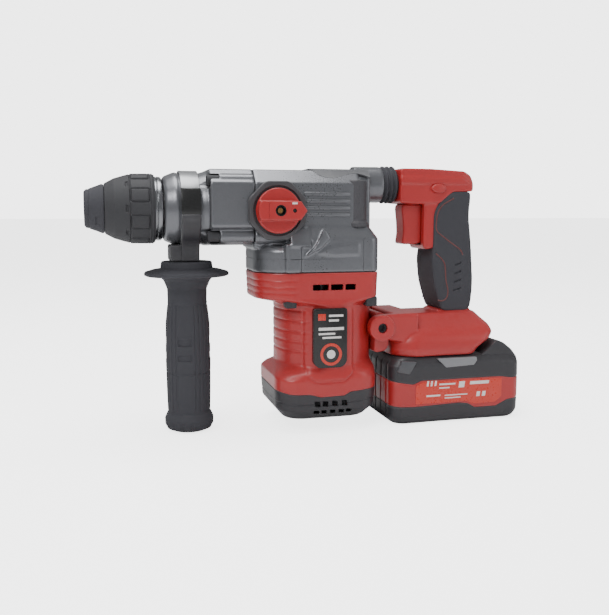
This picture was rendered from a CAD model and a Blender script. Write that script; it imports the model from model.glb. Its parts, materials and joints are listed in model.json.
"""Looks of a cordless rotary hammer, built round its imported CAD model.

Lengths are in millimetres until a mesh is made. The chuck points along -X and +Z is up. Places are read
from the CAD model's boxes, so the looks follow it when its sizes change.
"""

import json
import logging
import math
from collections.abc import Callable, Sequence
from dataclasses import dataclass
from enum import Enum

import bmesh
import bpy
import numpy as np
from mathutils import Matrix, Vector


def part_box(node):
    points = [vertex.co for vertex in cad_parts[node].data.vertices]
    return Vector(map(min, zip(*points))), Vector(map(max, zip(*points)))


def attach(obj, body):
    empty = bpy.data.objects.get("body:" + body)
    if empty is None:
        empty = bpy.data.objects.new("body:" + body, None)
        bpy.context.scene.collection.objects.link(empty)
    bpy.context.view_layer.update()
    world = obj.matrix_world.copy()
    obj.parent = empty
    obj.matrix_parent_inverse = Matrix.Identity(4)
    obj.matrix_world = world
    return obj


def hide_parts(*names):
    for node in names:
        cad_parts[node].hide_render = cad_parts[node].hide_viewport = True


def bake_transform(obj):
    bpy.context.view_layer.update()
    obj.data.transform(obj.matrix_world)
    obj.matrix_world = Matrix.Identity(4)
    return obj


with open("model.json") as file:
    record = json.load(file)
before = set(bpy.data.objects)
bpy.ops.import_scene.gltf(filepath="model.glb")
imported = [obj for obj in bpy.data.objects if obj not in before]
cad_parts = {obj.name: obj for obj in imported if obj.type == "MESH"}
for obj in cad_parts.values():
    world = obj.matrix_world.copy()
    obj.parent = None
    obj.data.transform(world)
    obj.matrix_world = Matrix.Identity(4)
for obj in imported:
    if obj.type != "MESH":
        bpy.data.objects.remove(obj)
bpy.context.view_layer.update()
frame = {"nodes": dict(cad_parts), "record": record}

MM = 0.001
LOG = logging.getLogger("rotary_hammer")
Points = Sequence[Sequence[float]]
Relief = Callable[[np.ndarray, np.ndarray, np.ndarray, np.ndarray], np.ndarray]


# ---------------------------------------------------------------- finishes
class Grain(Enum):
    """Kinds of fine surface texture: noise scale per metre, and depth in millimetres."""

    MOULDED = (2600.0, 0.05)
    CAST = (1500.0, 0.03)
    ROUGH = (900.0, 0.6)
    RUBBER = (3800.0, 0.10)
    MACHINED = (700.0, 0.012)
    PRINTED = (1200.0, 0.004)


def linear(red: int, green: int, blue: int) -> tuple[float, float, float, float]:
    """A screen colour as the linear colour that a shader takes.

    Args:
        red: Red from 0 to 255.
        green: Green from 0 to 255.
        blue: Blue from 0 to 255.

    Returns:
        Linear red, green, blue and an alpha of 1.
    """
    shares = [value / 255 for value in (red, green, blue)]
    return (
        *[share / 12.92 if share <= 0.04045 else ((share + 0.055) / 1.055) ** 2.4 for share in shares],
        1.0,
    )


@dataclass(frozen=True)
class Finish:
    """One surface finish: its colour, how it shines and how it has aged."""

    name: str
    slot: str
    colour: tuple[float, float, float, float]
    grain: Grain
    roughness: float
    metallic: float = 0.0
    wander: float = 0.10
    wear: float = 0.15
    dust: float = 0.06
    coat: float = 0.0

    def material(self) -> bpy.types.Material:
        """Returns this finish's material, made the first time it is asked for."""
        found = bpy.data.materials.get(self.name)
        return found or self._build()

    def _build(self) -> bpy.types.Material:
        """Makes the material: the shader here, and its grain, tone and wear from the shared effects.

        Returns:
            The new material.
        """
        made = bpy.data.materials.new(self.name)
        made.use_nodes = True
        nodes, links = made.node_tree.nodes, made.node_tree.links
        shader = nodes["Principled BSDF"]
        shader.inputs["Metallic"].default_value = self.metallic
        shader.inputs["Coat Weight"].default_value = self.coat
        shader.inputs["Coat Roughness"].default_value = 0.15
        scale, depth = self.grain.value
        grain = nodes.new("ShaderNodeGroup")
        grain.node_tree = effect("surface_grain", build_surface_grain)
        grain.inputs["Scale"].default_value = scale
        grain.inputs["Depth"].default_value = depth * MM
        links.new(grain.outputs["Normal"], shader.inputs["Normal"])
        tone = nodes.new("ShaderNodeGroup")
        tone.node_tree = effect("colour_wander", build_colour_wander)
        tone.inputs["Base"].default_value = self.colour
        tone.inputs["Amount"].default_value = self.wander
        tone.inputs["Roughness"].default_value = self.roughness
        links.new(tone.outputs["Roughness"], shader.inputs["Roughness"])
        age = nodes.new("ShaderNodeGroup")
        age.node_tree = effect("wear_and_dust", build_wear_and_dust)
        age.inputs["Wear"].default_value = self.wear
        age.inputs["Dust"].default_value = self.dust
        links.new(tone.outputs["Colour"], age.inputs["Colour"])
        links.new(age.outputs["Colour"], shader.inputs["Base Color"])
        return made


def effect(name: str, build: Callable[[bpy.types.NodeTree], None]) -> bpy.types.NodeTree:
    """Returns the shared shader group of this name, built the first time it is asked for."""
    group = bpy.data.node_groups.get(name)
    if group is None:
        group = bpy.data.node_groups.new(name, "ShaderNodeTree")
        build(group)
    return group


def add_sockets(group: bpy.types.NodeTree, inputs: dict[str, str], outputs: dict[str, str]) -> None:
    """Gives a node group its named inputs and outputs, as {name: kind}."""
    for side, sockets in (("INPUT", inputs), ("OUTPUT", outputs)):
        for name, kind in sockets.items():
            group.interface.new_socket(name, in_out=side, socket_type=f"NodeSocket{kind}")


def noise(group: bpy.types.NodeTree, scale: float, detail: float = 3.0) -> bpy.types.Node:
    """Adds noise that is fixed to the piece's own coordinates."""
    place = group.nodes.new("ShaderNodeTexCoord")
    made = group.nodes.new("ShaderNodeTexNoise")
    made.inputs["Scale"].default_value = scale
    made.inputs["Detail"].default_value = detail
    group.links.new(place.outputs["Object"], made.inputs["Vector"])
    return made


def math_node(
    group: bpy.types.NodeTree,
    operation: str,
    first: bpy.types.NodeSocket | float,
    second: bpy.types.NodeSocket | float,
    clamp: bool = False,
) -> bpy.types.NodeSocket:
    """Adds a math node. Each value is a socket to link from, or a number.

    Returns:
        The node's output socket.
    """
    made = group.nodes.new("ShaderNodeMath")
    made.operation = operation
    made.use_clamp = clamp
    for socket, value in zip(made.inputs, (first, second)):
        if isinstance(value, bpy.types.NodeSocket):
            group.links.new(value, socket)
        else:
            socket.default_value = value
    return made.outputs[0]


def mix_colours(
    group: bpy.types.NodeTree,
    share: bpy.types.NodeSocket,
    first: bpy.types.NodeSocket,
    second: bpy.types.NodeSocket | tuple[float, float, float, float],
    blend: str = "MIX",
) -> bpy.types.NodeSocket:
    """Adds a colour mix of two colours and returns its output socket."""
    made = group.nodes.new("ShaderNodeMix")
    made.data_type = "RGBA"
    made.blend_type = blend
    group.links.new(share, made.inputs["Factor"])
    group.links.new(first, made.inputs[6])
    if isinstance(second, bpy.types.NodeSocket):
        group.links.new(second, made.inputs[7])
    else:
        made.inputs[7].default_value = second
    return made.outputs[2]


def build_surface_grain(group: bpy.types.NodeTree) -> None:
    """Fine bumps: moulding grain, casting skin or rubber, by scale and depth."""
    add_sockets(group, {"Scale": "Float", "Depth": "Float"}, {"Normal": "Vector"})
    given = group.nodes.new("NodeGroupInput")
    result = group.nodes.new("NodeGroupOutput")
    grains = noise(group, 2000.0, 2.0)
    group.links.new(given.outputs["Scale"], grains.inputs["Scale"])
    bump = group.nodes.new("ShaderNodeBump")
    bump.inputs["Strength"].default_value = 0.6
    group.links.new(given.outputs["Depth"], bump.inputs["Distance"])
    group.links.new(grains.outputs["Fac"], bump.inputs["Height"])
    group.links.new(bump.outputs["Normal"], result.inputs["Normal"])


def build_colour_wander(group: bpy.types.NodeTree) -> None:
    """Slow changes of tone and shine over a surface, as no moulding is quite even."""
    add_sockets(
        group,
        {"Base": "Color", "Amount": "Float", "Roughness": "Float"},
        {"Colour": "Color", "Roughness": "Float"},
    )
    given = group.nodes.new("NodeGroupInput")
    result = group.nodes.new("NodeGroupOutput")
    broad = noise(group, 22.0)
    speck = noise(group, 700.0, 2.0)
    together = math_node(group, "ADD", broad.outputs["Fac"], speck.outputs["Fac"])
    centred = math_node(group, "SUBTRACT", together, 1.0)
    swing = math_node(group, "MULTIPLY", centred, given.outputs["Amount"])
    factor = math_node(group, "ADD", swing, 1.0)
    tone = group.nodes.new("ShaderNodeVectorMath")
    tone.operation = "SCALE"
    group.links.new(given.outputs["Base"], tone.inputs[0])
    group.links.new(factor, tone.inputs["Scale"])
    group.links.new(tone.outputs[0], result.inputs["Colour"])
    shine = math_node(group, "MULTIPLY", centred, 0.12)
    rough = math_node(group, "ADD", shine, given.outputs["Roughness"], clamp=True)
    group.links.new(rough, result.inputs["Roughness"])


def build_wear_and_dust(group: bpy.types.NodeTree) -> None:
    """Edges rubbed paler, and a film of dust on what faces up."""
    add_sockets(group, {"Colour": "Color", "Wear": "Float", "Dust": "Float"}, {"Colour": "Color"})
    given = group.nodes.new("NodeGroupInput")
    result = group.nodes.new("NodeGroupOutput")
    shape = group.nodes.new("ShaderNodeNewGeometry")
    edge = group.nodes.new("ShaderNodeMapRange")
    edge.inputs["From Min"].default_value = 0.53
    edge.inputs["From Max"].default_value = 0.62
    group.links.new(shape.outputs["Pointiness"], edge.inputs["Value"])
    patches = noise(group, 90.0)
    rubbed = math_node(group, "MULTIPLY", edge.outputs["Result"], patches.outputs["Fac"])
    worn = math_node(group, "MULTIPLY", rubbed, given.outputs["Wear"], clamp=True)
    pale = mix_colours(group, worn, given.outputs["Colour"], (0.8, 0.8, 0.8, 1.0), "SCREEN")
    facing = group.nodes.new("ShaderNodeSeparateXYZ")
    group.links.new(shape.outputs["Normal"], facing.inputs[0])
    specks = noise(group, 260.0, 4.0)
    settled = math_node(group, "MULTIPLY", facing.outputs["Z"], specks.outputs["Fac"], clamp=True)
    film = math_node(group, "MULTIPLY", settled, given.outputs["Dust"], clamp=True)
    dusty = mix_colours(group, film, pale, (0.55, 0.53, 0.50, 1.0))
    group.links.new(dusty, result.inputs["Colour"])


RED = Finish("red_shell", "red_plastic", linear(172, 42, 42), Grain.MOULDED, 0.34, coat=0.12)
CAST_GREY = Finish(
    "cast_grey", "grey_metal", linear(112, 113, 117), Grain.CAST, 0.3, metallic=0.65, wander=0.14,
)
DARK_GREY = Finish("dark_grey_plastic", "grey_plastic", linear(46, 45, 49), Grain.MOULDED, 0.42)
BEZEL_GREY = Finish("bezel_grey", "grey_metal", linear(62, 60, 63), Grain.MOULDED, 0.38)
ROUGH_GREY = Finish("rough_grey_casting", "grey_metal", linear(66, 65, 69), Grain.ROUGH, 0.55)
COVER_GREY = Finish("cover_grey", "black_plastic", linear(70, 71, 75), Grain.CAST, 0.4)
BLACK = Finish("black_plastic", "black_plastic", linear(15, 14, 16), Grain.MOULDED, 0.4)
RUBBER = Finish("black_rubber", "black_rubber", linear(29, 27, 30), Grain.RUBBER, 0.6, wear=0.1)
STEEL = Finish(
    "bright_steel", "bright_steel", linear(170, 171, 174), Grain.MACHINED, 0.28, metallic=1.0,
    dust=0.0,
)
RING_STEEL = Finish(
    "polished_ring", "bright_steel", linear(132, 133, 136), Grain.MACHINED, 0.24, metallic=1.0,
)
ALUMINIUM = Finish("bare_aluminium", "bare_aluminium", linear(185, 187, 190), Grain.CAST, 0.4, metallic=1.0)
COPPER = Finish("copper_core", "copper_core", linear(150, 92, 60), Grain.MACHINED, 0.4, metallic=1.0)
CELL = Finish("cell_green", "cell_green", linear(60, 130, 140), Grain.PRINTED, 0.4)
BADGE = Finish("badge_black", "badge_black", linear(12, 11, 13), Grain.PRINTED, 0.3, wear=0.0, coat=0.2)
BRASS = Finish("brass_screw", "bright_steel", linear(176, 132, 84), Grain.MACHINED, 0.3, metallic=1.0)
STRAP = Finish("strap_grey", "black_plastic", linear(150, 151, 153), Grain.MACHINED, 0.32, metallic=0.7)
PIPING = Finish("red_piping", "red_plastic", linear(96, 44, 42), Grain.RUBBER, 0.5)
PALE_GREY = Finish("pale_grey_plastic", "grey_plastic", linear(126, 127, 130), Grain.MOULDED, 0.36)
LABEL_RED = Finish("label_red", "red_plastic", linear(202, 56, 42), Grain.PRINTED, 0.28, wear=0.0, dust=0.0)
PRINT_WHITE = Finish("print_white", "badge_black", linear(225, 222, 218), Grain.PRINTED, 0.35, dust=0.0)
FINISH_OF_SLOT = {
    "red_plastic": RED,
    "grey_metal": CAST_GREY,
    "grey_plastic": DARK_GREY,
    "black_plastic": BLACK,
    "black_rubber": RUBBER,
    "bright_steel": STEEL,
    "bare_aluminium": ALUMINIUM,
    "copper_core": COPPER,
    "cell_green": CELL,
    "badge_black": BADGE,
}


# ---------------------------------------------------------------- shapes
@dataclass(frozen=True)
class Span:
    """A CAD node's box in millimetres."""

    low: tuple[float, float, float]
    high: tuple[float, float, float]

    @classmethod
    def of(cls, node: str) -> "Span":
        """Reads the box of a CAD node."""
        low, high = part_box(node)
        return cls(tuple(value / MM for value in low), tuple(value / MM for value in high))

    @property
    def middle(self) -> tuple[float, float, float]:
        """The centre of the box."""
        return tuple((a + b) / 2 for a, b in zip(self.low, self.high))


def smooth_step(value: np.ndarray, low: float, high: float) -> np.ndarray:
    """Rises smoothly from 0 at low to 1 at high."""
    share = np.clip((value - low) / (high - low), 0.0, 1.0)
    return share * share * (3 - 2 * share)


def plateau(value: np.ndarray, low: float, high: float, edge: float = 0.6) -> np.ndarray:
    """1 between low and high, falling smoothly to 0 over an edge outside them."""
    return smooth_step(value, low - edge, low) * (1 - smooth_step(value, high, high + edge))


def ridge(value: np.ndarray, centre: float, half: float) -> np.ndarray:
    """A smooth bump of height 1 about centre, 0 beyond half each side."""
    return 1 - smooth_step(np.abs(value - centre), 0.0, half)


def from_box(
    u: np.ndarray,
    v: np.ndarray,
    low: Sequence[float],
    high: Sequence[float],
    corner: float,
) -> np.ndarray:
    """Distance from a rounded box in the plane, negative inside it."""
    du = np.abs(u - (low[0] + high[0]) / 2) - (high[0] - low[0]) / 2 + corner
    dv = np.abs(v - (low[1] + high[1]) / 2) - (high[1] - low[1]) / 2 + corner
    outside = np.hypot(np.maximum(du, 0), np.maximum(dv, 0))
    return outside + np.minimum(np.maximum(du, dv), 0) - corner


def mesh_object(name: str, points: Points, faces: Sequence[Sequence[int]]) -> bpy.types.Object:
    """Makes a closed mesh object with its normals facing out.

    Args:
        name: The object's name.
        points: Corners in millimetres.
        faces: Corner numbers of each face.

    Returns:
        The object, linked to the scene.
    """
    mesh = bpy.data.meshes.new(name)
    mesh.from_pydata((np.asarray(points, float) * MM).tolist(), [], faces)
    build = bmesh.new()
    build.from_mesh(mesh)
    bmesh.ops.remove_doubles(build, verts=build.verts, dist=1e-6)
    bmesh.ops.recalc_face_normals(build, faces=build.faces)
    build.to_mesh(mesh)
    build.free()
    obj = bpy.data.objects.new(name, mesh)
    bpy.context.scene.collection.objects.link(obj)
    return obj


def ring_stack(name: str, rows: np.ndarray, wrap: bool = False) -> bpy.types.Object:
    """Joins rings of points, each as long as the next, into a skin.

    Args:
        name: The object's name.
        rows: Rings by points by three coordinates.
        wrap: Joins the last ring to the first, instead of capping both.

    Returns:
        The closed object.
    """
    count, around = rows.shape[:2]
    faces = []
    for level in range(count if wrap else count - 1):
        here, above = level * around, (level + 1) % count * around
        for i in range(around):
            j = (i + 1) % around
            faces.append((here + i, here + j, above + j, above + i))
    if not wrap:
        for level in (0, count - 1):
            if np.ptp(rows[level], axis=0).max() > 1e-6:
                faces.append(tuple(range(level * around, (level + 1) * around)))
    return mesh_object(name, rows.reshape(-1, 3), faces)


def soften(points: Points, cut: float, closed: bool = True, steps: int = 3) -> list[tuple[float, float]]:
    """Replaces each corner of a line of points with a short curve.

    Args:
        points: Corners in the plane.
        cut: How far before and after a corner its curve reaches.
        closed: Whether the last point joins the first.
        steps: Straight pieces in each curve.

    Returns:
        The points of the softened line.
    """
    made = []
    for i, point in enumerate(points):
        if not closed and i in (0, len(points) - 1):
            made.append(tuple(point))
            continue
        here = np.array(point, float)
        before = np.array(points[i - 1], float) - here
        after = np.array(points[(i + 1) % len(points)], float) - here
        reach = [min(cut / max(np.linalg.norm(way), 1e-9), 0.46) for way in (before, after)]
        start, end = here + before * reach[0], here + after * reach[1]
        for share in np.linspace(0, 1, steps + 1):
            curve = (1 - share) ** 2 * start + 2 * share * (1 - share) * here + share**2 * end
            made.append((float(curve[0]), float(curve[1])))
    return made


def refine(points: Points, step: float, closed: bool) -> np.ndarray:
    """Adds points along a line so that no two are further apart than step."""
    line = list(points) + ([points[0]] if closed else [])
    made = []
    for first, second in zip(line, line[1:]):
        count = max(1, math.ceil(math.dist(first, second) / step))
        for i in range(count):
            share = i / count
            made.append([a + (b - a) * share for a, b in zip(first, second)])
    if not closed:
        made.append(list(line[-1]))
    return np.array(made)


def on_axis(
    axis: str,
    along: np.ndarray,
    centre: Sequence[float],
    u: np.ndarray,
    v: np.ndarray,
) -> np.ndarray:
    """Points at a place along an axis and (u, v) off its centre line, on the other two axes in order."""
    along = along + 0 * u
    order = {
        "X": (along, centre[0] + u, centre[1] + v),
        "Y": (centre[0] + u, along, centre[1] + v),
        "Z": (centre[0] + u, centre[1] + v, along),
    }
    return np.stack(order[axis], axis=-1)


def revolve(
    name: str,
    profile: Points,
    axis: str,
    centre: Sequence[float],
    around: int = 128,
    relief: Callable[[np.ndarray, np.ndarray], np.ndarray] | None = None,
    relief_from: float = 0.0,
    step: float = 0.8,
) -> bpy.types.Object:
    """Spins a profile about an axis.

    Args:
        name: The object's name.
        profile: (place along the axis, radius) points, closed unless they start and end on the axis.
        axis: The axis' letter.
        centre: The axis' place on the other two axes.
        around: Points round the axis.
        relief: Added to the radius, by angle and place along the axis.
        relief_from: The least radius that the relief acts on.
        step: The longest edge along the profile where there is a relief.

    Returns:
        The closed object.
    """
    closed = min(radius for _, radius in profile) > 1e-6
    line = refine(profile, step if relief else 1e9, closed)
    angle = np.linspace(0, 2 * math.pi, around, endpoint=False)[None, :]
    along, radius = line[:, :1], line[:, 1:] + 0 * angle
    if relief is not None:
        radius = radius + np.where(radius >= relief_from, relief(angle, along), 0.0)
    rows = on_axis(axis, along, centre, radius * np.cos(angle), radius * np.sin(angle))
    return ring_stack(name, rows, wrap=closed)


def prism(
    name: str,
    outline: Points,
    span: Sequence[float],
    axis: str = "Y",
    edge: float = 0.0,
) -> bpy.types.Object:
    """Stretches an outline along an axis, with rounded edges.

    Args:
        name: The object's name.
        outline: Corners on the other two axes in order.
        span: The two ends on the axis.
        axis: The axis' letter.
        edge: How wide the edges' rounding is.

    Returns:
        The closed object.
    """
    flat = np.array(outline, float)
    rows = [on_axis(axis, np.full(len(flat), end), (0, 0), flat[:, 0], flat[:, 1]) for end in span]
    obj = ring_stack(name, np.array(rows))
    if edge:
        modifier = obj.modifiers.new("edges", "BEVEL")
        modifier.width = edge * MM
        modifier.segments = 3
        modifier.limit_method = "ANGLE"
        modifier.angle_limit = math.radians(40)
        settle(obj)
    return obj


def block(name: str, low: Sequence[float], high: Sequence[float], edge: float = 0.0) -> bpy.types.Object:
    """A box between two corners, with rounded edges."""
    outline = [(low[0], low[2]), (high[0], low[2]), (high[0], high[2]), (low[0], high[2])]
    return prism(name, outline, (low[1], high[1]), "Y", edge)


def rod(
    name: str,
    radius: float,
    span: Sequence[float],
    axis: str,
    centre: Sequence[float],
) -> bpy.types.Object:
    """A solid cylinder with slightly rounded rims."""
    low, high = span
    rim = min(0.4, radius / 3, (high - low) / 3)
    profile = [
        (low, 0), (low, radius - rim), (low + rim, radius), (high - rim, radius),
        (high, radius - rim), (high, 0),
    ]
    return revolve(name, profile, axis, centre, 64)


def settle(obj: bpy.types.Object) -> bpy.types.Object:
    """Turns an object's modifiers into its plain mesh."""
    graph = bpy.context.evaluated_depsgraph_get()
    mesh = bpy.data.meshes.new_from_object(obj.evaluated_get(graph))
    obj.modifiers.clear()
    obj.data = mesh
    return obj


def gather(name: str, parts: Sequence[bpy.types.Object]) -> bpy.types.Object:
    """Puts several objects' meshes into one object, and removes them."""
    build = bmesh.new()
    for part in parts:
        build.from_mesh(part.data)
        bpy.data.objects.remove(part)
    mesh = bpy.data.meshes.new(name)
    build.to_mesh(mesh)
    build.free()
    obj = bpy.data.objects.new(name, mesh)
    bpy.context.scene.collection.objects.link(obj)
    return obj


def fuse(
    name: str,
    parts: Sequence[bpy.types.Object],
    voxel: float = 0.9,
    rounds: int = 4,
) -> bpy.types.Object:
    """Melts overlapping shapes into one casting with soft inner corners.

    Args:
        name: The object's name.
        parts: The shapes, which are used up.
        voxel: The grain of the new skin, in millimetres.
        rounds: How often the skin is smoothed.

    Returns:
        The closed object.
    """
    obj = gather(name, parts)
    melt = obj.modifiers.new("melt", "REMESH")
    melt.mode = "VOXEL"
    melt.voxel_size = voxel * MM
    calm = obj.modifiers.new("calm", "SMOOTH")
    calm.factor = 0.5
    calm.iterations = rounds
    return settle(obj)


def carve(obj: bpy.types.Object, cutters: Sequence[bpy.types.Object]) -> bpy.types.Object:
    """Cuts shapes out of an object, and removes them."""
    cutter = gather("cutter", cutters)
    cut = obj.modifiers.new("cut", "BOOLEAN")
    cut.operation = "DIFFERENCE"
    cut.solver = "EXACT"
    cut.object = cutter
    settle(obj)
    bpy.data.objects.remove(cutter)
    return obj


@dataclass(frozen=True)
class Ring:
    """One height of an upright skin: a rounded rectangle with its own front and rear corners."""

    z: float
    half_x: float
    half_y: float
    front: float
    rear: float
    centre: float = 0.0


class Wall(Enum):
    """How a skin is closed: solid, open at both ends, open above or open below."""

    SOLID = 0
    TUBE = 1
    CUP = 2
    LID = 3


def ring_radius(angle: np.ndarray, half_x: np.ndarray, half_y: np.ndarray, corner: np.ndarray) -> np.ndarray:
    """How far a rounded rectangle's edge lies from its centre, in each direction."""
    cosine, sine = np.maximum(np.abs(np.cos(angle)), 1e-9), np.maximum(np.abs(np.sin(angle)), 1e-9)
    corner = np.minimum(corner, np.minimum(half_x, half_y) - 1e-3)
    end, side = half_x / cosine, half_y / sine
    centre_x, centre_y = half_x - corner, half_y - corner
    reach = centre_x * cosine + centre_y * sine
    inside = np.maximum(reach**2 - (centre_x**2 + centre_y**2 - corner**2), 0.0)
    arc = reach + np.sqrt(inside)
    return np.where(end * sine <= centre_y, end, np.where(side * cosine <= centre_x, side, arc))


def skin(
    name: str,
    rings: Sequence[Ring],
    relief: Relief | None = None,
    wall: Wall = Wall.SOLID,
    thickness: float = 2.0,
    step: float = 0.9,
    around: int = 320,
    calm: int = 2,
    rims: tuple[float, float] = (0.8, 0.8),
    edges: tuple[
        Callable[[np.ndarray], np.ndarray] | None, Callable[[np.ndarray], np.ndarray] | None,
    ] = (None, None),
) -> bpy.types.Object:
    """Lofts an upright body through rings, with relief pressed into it.

    Args:
        name: The object's name.
        rings: Heights from low to high.
        relief: Added outwards, by angle, height, x and y.
        wall: How it is closed.
        thickness: Wall thickness where it isn't solid.
        step: Height of one row.
        around: Points round it.
        calm: How often neighbouring rows are averaged.
        rims: Rounding of the lower and upper rim.
        edges: How far the lower and upper edge rise, by x.

    Returns:
        The closed object.
    """
    heights = [ring.z for ring in rings]
    count = max(4, round((heights[-1] - heights[0]) / step))
    z = np.linspace(heights[0], heights[-1], count)[:, None]
    angle = np.linspace(0, 2 * math.pi, around, endpoint=False)[None, :]

    def between(name_of_size: str) -> np.ndarray:
        """One of the rings' sizes at every row."""
        return np.interp(z, heights, [getattr(ring, name_of_size) for ring in rings])

    corner = np.where(np.cos(angle) < 0, between("front"), between("rear"))
    radius = ring_radius(angle, between("half_x"), between("half_y"), corner)
    for _ in range(calm):
        radius[1:-1] = (radius[:-2] + 2 * radius[1:-1] + radius[2:]) / 4
    centre = between("centre")
    inner = radius - thickness
    if relief is not None:
        radius = radius + relief(
            angle + 0 * z, z + 0 * angle, centre + radius * np.cos(angle), radius * np.sin(angle),
        )
    for rim, depth in zip(rims, (z - z[0], z[-1] - z)):
        missing = np.clip(rim - depth, 0, rim)
        radius = radius - (rim - np.sqrt(np.maximum(rim**2 - missing**2, 0)))
    share = (z - z[0]) / (z[-1] - z[0])

    def rows_at(sizes: np.ndarray, height: np.ndarray) -> np.ndarray:
        """The rows' points, with the lower and upper edges raised as asked."""
        x, y = centre[: len(sizes)] + sizes * np.cos(angle), sizes * np.sin(angle)
        lift = height + 0 * x
        for edge, weight in zip(edges, (1 - share, share)):
            if edge is not None:
                lift = lift + edge(x) * weight[: len(sizes)]
        return np.stack((x, y, lift), axis=-1)

    outer = rows_at(radius, z)
    if wall is Wall.SOLID:
        return ring_stack(name, outer)
    hollow = rows_at(inner, np.clip(z, *closed_span(wall, z, thickness)))
    if wall is Wall.TUBE:
        return ring_stack(name, np.concatenate((outer, hollow[::-1])), wrap=True)
    if wall is Wall.CUP:
        return ring_stack(name, np.concatenate((outer, hollow[::-1])))
    return ring_stack(name, np.concatenate((hollow[::-1], outer)))


def closed_span(wall: Wall, z: np.ndarray, thickness: float) -> tuple[float, float]:
    """The heights that a skin's hollow lies between."""
    low, high = float(z.min()), float(z.max())
    return (low + thickness if wall is Wall.CUP else low, high - thickness if wall is Wall.LID else high)


class CopyTree:
    """Geometry nodes that stand copies of a shape along a line, or turn them round an axis."""

    INPUTS = {
        "Shape": "Object",
        "Count": "Int",
        "First": "Vector",
        "Step": "Vector",
        "Axis": "Vector",
        "Turn": "Float",
        "Spin": "Float",
        "Seed": "Int",
        "Finish": "Material",
    }

    def __init__(self) -> None:
        """Builds the node group once."""
        self.tree = bpy.data.node_groups.new("stand_copies", "GeometryNodeTree")
        add_sockets(self.tree, self.INPUTS, {"Geometry": "Geometry"})
        nodes, link = self.tree.nodes, self.tree.links.new
        given = nodes.new("NodeGroupInput")
        line = nodes.new("GeometryNodeMeshLine")
        link(given.outputs["Count"], line.inputs["Count"])
        link(given.outputs["First"], line.inputs["Start Location"])
        link(given.outputs["Step"], line.inputs["Offset"])
        place = nodes.new("GeometryNodeInputIndex")
        turned = math_node(self.tree, "MULTIPLY", place.outputs[0], given.outputs["Turn"])
        chance = nodes.new("FunctionNodeRandomValue")
        least = math_node(self.tree, "MULTIPLY", given.outputs["Spin"], -1.0)
        link(least, chance.inputs[2])
        link(given.outputs["Spin"], chance.inputs[3])
        link(given.outputs["Seed"], chance.inputs["Seed"])
        angle = math_node(self.tree, "ADD", turned, chance.outputs[1])
        turn = nodes.new("FunctionNodeAxisAngleToRotation")
        link(given.outputs["Axis"], turn.inputs["Axis"])
        link(angle, turn.inputs["Angle"])
        shape = nodes.new("GeometryNodeObjectInfo")
        link(given.outputs["Shape"], shape.inputs["Object"])
        stand = nodes.new("GeometryNodeInstanceOnPoints")
        link(line.outputs["Mesh"], stand.inputs["Points"])
        link(shape.outputs["Geometry"], stand.inputs["Instance"])
        link(turn.outputs["Rotation"], stand.inputs["Rotation"])
        realise = nodes.new("GeometryNodeRealizeInstances")
        link(stand.outputs["Instances"], realise.inputs["Geometry"])
        paint = nodes.new("GeometryNodeSetMaterial")
        link(realise.outputs["Geometry"], paint.inputs["Geometry"])
        link(given.outputs["Finish"], paint.inputs["Material"])
        result = nodes.new("NodeGroupOutput")
        link(paint.outputs["Geometry"], result.inputs["Geometry"])

    def copies(
        self,
        name: str,
        shape: bpy.types.Object,
        count: int,
        finish: Finish,
        first: Sequence[float] = (0, 0, 0),
        step: Sequence[float] = (0, 0, 0),
        axis: Sequence[float] = (1, 0, 0),
        turn: float = 0.0,
        spin: float = 0.0,
    ) -> bpy.types.Object:
        """Makes the copies as one plain mesh, and removes the shape.

        Args:
            name: The new object's name.
            shape: What is copied, modelled about the origin.
            count: How many copies.
            finish: Their finish.
            first: The first copy's place, in millimetres.
            step: From each copy to the next, in millimetres.
            axis: The axis that copies turn about.
            turn: How far each copy is turned from the one before, in radians.
            spin: The most that chance turns a copy further, in radians.

        Returns:
            The object.
        """
        carrier = bpy.data.objects.new(name, bpy.data.meshes.new(name))
        bpy.context.scene.collection.objects.link(carrier)
        modifier = carrier.modifiers.new("copies", "NODES")
        modifier.node_group = self.tree
        values = {
            "Shape": shape,
            "Count": count,
            "First": tuple(value * MM for value in first),
            "Step": tuple(value * MM for value in step),
            "Axis": tuple(axis),
            "Turn": turn,
            "Spin": spin,
            "Seed": 7,
            "Finish": finish.material(),
        }
        for item in self.tree.interface.items_tree:
            if item.in_out == "INPUT":
                modifier[item.identifier] = values[item.name]
        settle(carrier)
        bpy.data.objects.remove(shape)
        return carrier


COPIES = CopyTree()


def show(
    obj: bpy.types.Object,
    name: str,
    finish: Finish,
    body: str,
    *nodes: str,
    crease: float = 38.0,
) -> None:
    """Finishes a piece: its name, material, shading, body and the CAD nodes that it stands for.

    Args:
        obj: The piece, in place.
        name: Its final name.
        finish: Its finish.
        body: The CAD body that it rides on.
        nodes: The CAD nodes that it stands for.
        crease: Edges sharper than this many degrees stay sharp.
    """
    obj.name = name
    obj.data.name = name
    obj.data.materials.clear()
    obj.data.materials.append(finish.material())
    obj.data.shade_smooth()
    obj.data.set_sharp_from_angle(angle=math.radians(crease))
    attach(obj, body)
    if nodes:
        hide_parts(*nodes)
    LOG.info("%s: %d faces", name, len(obj.data.polygons))


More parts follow.
